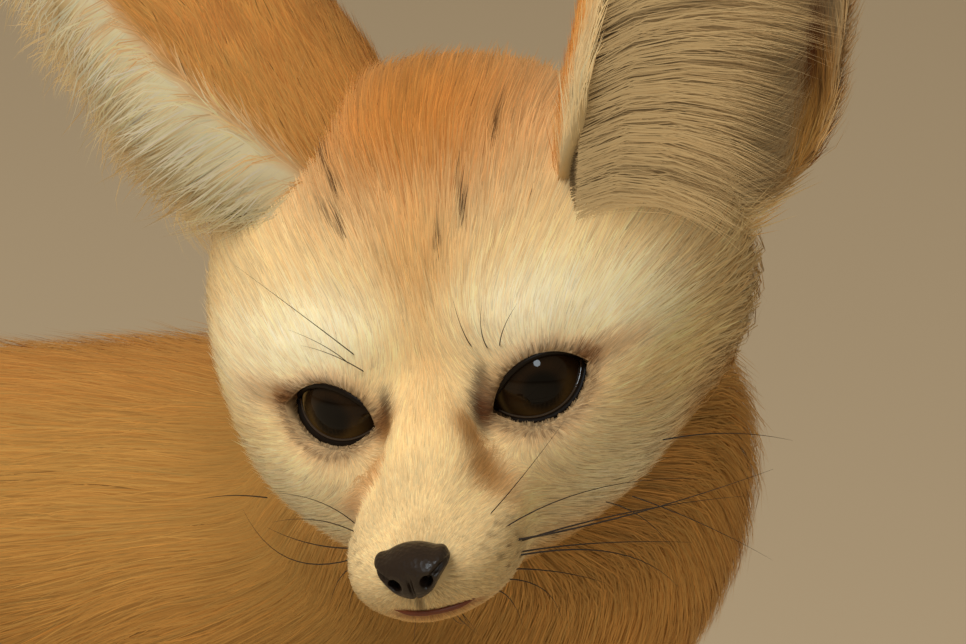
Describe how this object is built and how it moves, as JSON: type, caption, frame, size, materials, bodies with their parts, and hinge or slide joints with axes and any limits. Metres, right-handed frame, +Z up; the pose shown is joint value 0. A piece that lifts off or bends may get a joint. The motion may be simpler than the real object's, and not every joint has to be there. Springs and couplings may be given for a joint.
{
  "type": "fennec fox model",
  "caption": "Life-size still model of a standing fennec fox, its head turned to its right, with large furred ears, a cheek ruff and a bushy tail.",
  "frame": {"origin": "on the floor, below the middle of the whole animal's box", "axes": "+Z up; -Y is ahead, from tail to chest; +X is the animal's left"},
  "size_m": [0.1526, 0.466, 0.3301],
  "materials": {
    "face_coat": "short cream and sandy fur",
    "body_coat": "soft sandy buff fur",
    "ear_coat": "short buff fur behind, long pale hair inside",
    "tail_coat": "long bushy buff fur with a dark tip",
    "leg_coat": "short pale cream fur",
    "nose_skin": "moist dark pebbled skin",
    "eye": "wet dark brown eye",
    "lid_skin": "dark moist skin of lids and lips",
    "claw": "dark horn",
    "whisker": "dark stiff hair"
  },
  "bodies": {
    "root": {"head": "face_coat", "nose": "nose_skin", "eye_left": "eye", "eye_right": "eye", "ear_left": "ear_coat", "ear_right": "ear_coat", "neck": "body_coat", "torso": "body_coat", "tail": "tail_coat", "leg_fore_left": "body_coat", "paw_fore_left": "leg_coat", "leg_hind_left": "body_coat", "paw_hind_left": "leg_coat", "leg_fore_right": "body_coat", "paw_fore_right": "leg_coat", "leg_hind_right": "body_coat", "paw_hind_right": "leg_coat"}
  },
  "joints": []
}
